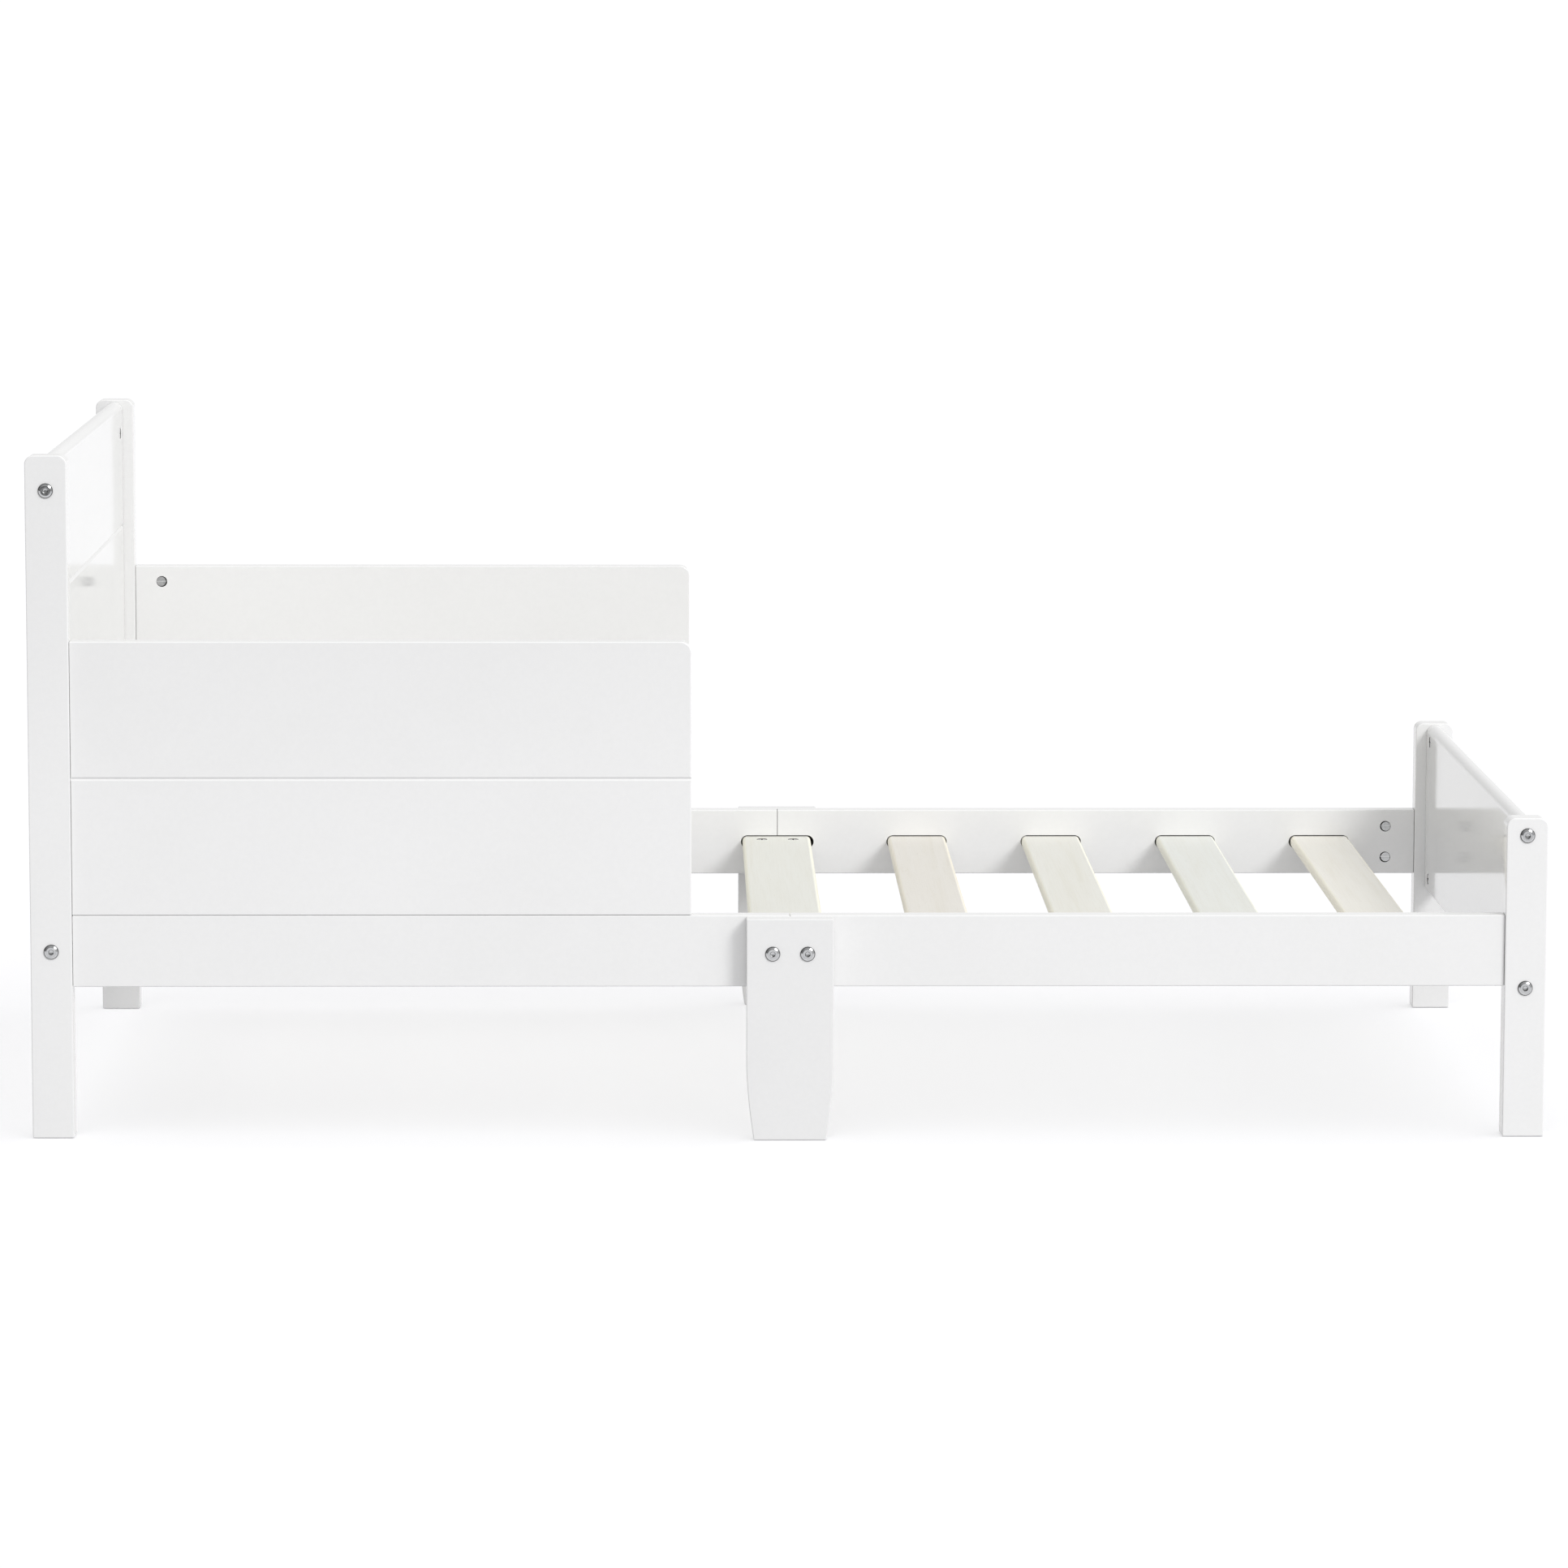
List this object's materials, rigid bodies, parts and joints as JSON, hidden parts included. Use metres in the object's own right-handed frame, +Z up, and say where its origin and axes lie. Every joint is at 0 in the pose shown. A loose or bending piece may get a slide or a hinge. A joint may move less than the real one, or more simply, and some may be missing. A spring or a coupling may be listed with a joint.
{
  "type": "toddler bed",
  "caption": "Low child's bed with flat posts, grooved headboard and guard panels, a low footboard, centre-jointed side rails on middle legs, and bare wooden slats set in slots.",
  "frame": {"origin": "middle of the footprint, on the floor", "axes": "+X from the head towards the foot, +Y across the bed from the near side to the far side, +Z up"},
  "size_m": [1.39, 0.788, 0.628],
  "materials": {
    "white_paint": "semi-gloss white paint on wood",
    "bare_wood": "bare pale poplar, sanded",
    "zinc_hardware": "zinc plated"
  },
  "bodies": {
    "root": {"centre_leg_far": "white_paint", "centre_leg_near": "white_paint", "foot_post_far": "white_paint", "foot_post_near": "white_paint", "footboard_bolt_far_lower": "zinc_hardware", "footboard_bolt_far_upper": "zinc_hardware", "footboard_bolt_near_lower": "zinc_hardware", "footboard_bolt_near_upper": "zinc_hardware", "footboard_nut_far_lower": "zinc_hardware", "footboard_nut_far_upper": "zinc_hardware", "footboard_nut_near_lower": "zinc_hardware", "footboard_nut_near_upper": "zinc_hardware", "footboard_panel": "white_paint", "guard_bolt_far_lower": "zinc_hardware", "guard_bolt_far_upper": "zinc_hardware", "guard_bolt_near_lower": "zinc_hardware", "guard_bolt_near_upper": "zinc_hardware", "guard_panel_far": "white_paint", "guard_panel_near": "white_paint", "head_post_far": "white_paint", "head_post_near": "white_paint", "headboard_bolt_far_lower": "zinc_hardware", "headboard_bolt_far_upper": "zinc_hardware", "headboard_bolt_near_lower": "zinc_hardware", "headboard_bolt_near_upper": "zinc_hardware", "headboard_nut_far_lower": "zinc_hardware", "headboard_nut_far_upper": "zinc_hardware", "headboard_nut_near_lower": "zinc_hardware", "headboard_nut_near_upper": "zinc_hardware", "headboard_panel": "white_paint", "leg_bolt_far_a": "zinc_hardware", "leg_bolt_far_b": "zinc_hardware", "leg_bolt_near_a": "zinc_hardware", "leg_bolt_near_b": "zinc_hardware", "leg_nut_far_a": "zinc_hardware", "leg_nut_far_b": "zinc_hardware", "leg_nut_near_a": "zinc_hardware", "leg_nut_near_b": "zinc_hardware", "rail_bolt_far_foot_lower": "zinc_hardware", "rail_bolt_far_foot_upper": "zinc_hardware", "rail_bolt_far_head_lower": "zinc_hardware", "rail_bolt_far_head_upper": "zinc_hardware", "rail_bolt_near_foot_lower": "zinc_hardware", "rail_bolt_near_foot_upper": "zinc_hardware", "rail_bolt_near_head_lower": "zinc_hardware", "rail_bolt_near_head_upper": "zinc_hardware", "side_rail_far_foot": "white_paint", "side_rail_far_head": "white_paint", "side_rail_near_foot": "white_paint", "side_rail_near_head": "white_paint", "slat_centre": "bare_wood", "slat_foot_1": "bare_wood", "slat_foot_2": "bare_wood", "slat_foot_3": "bare_wood", "slat_foot_4": "bare_wood", "slat_head_1": "bare_wood", "slat_head_2": "bare_wood", "slat_head_3": "bare_wood", "slat_head_4": "bare_wood"}
  },
  "joints": []
}
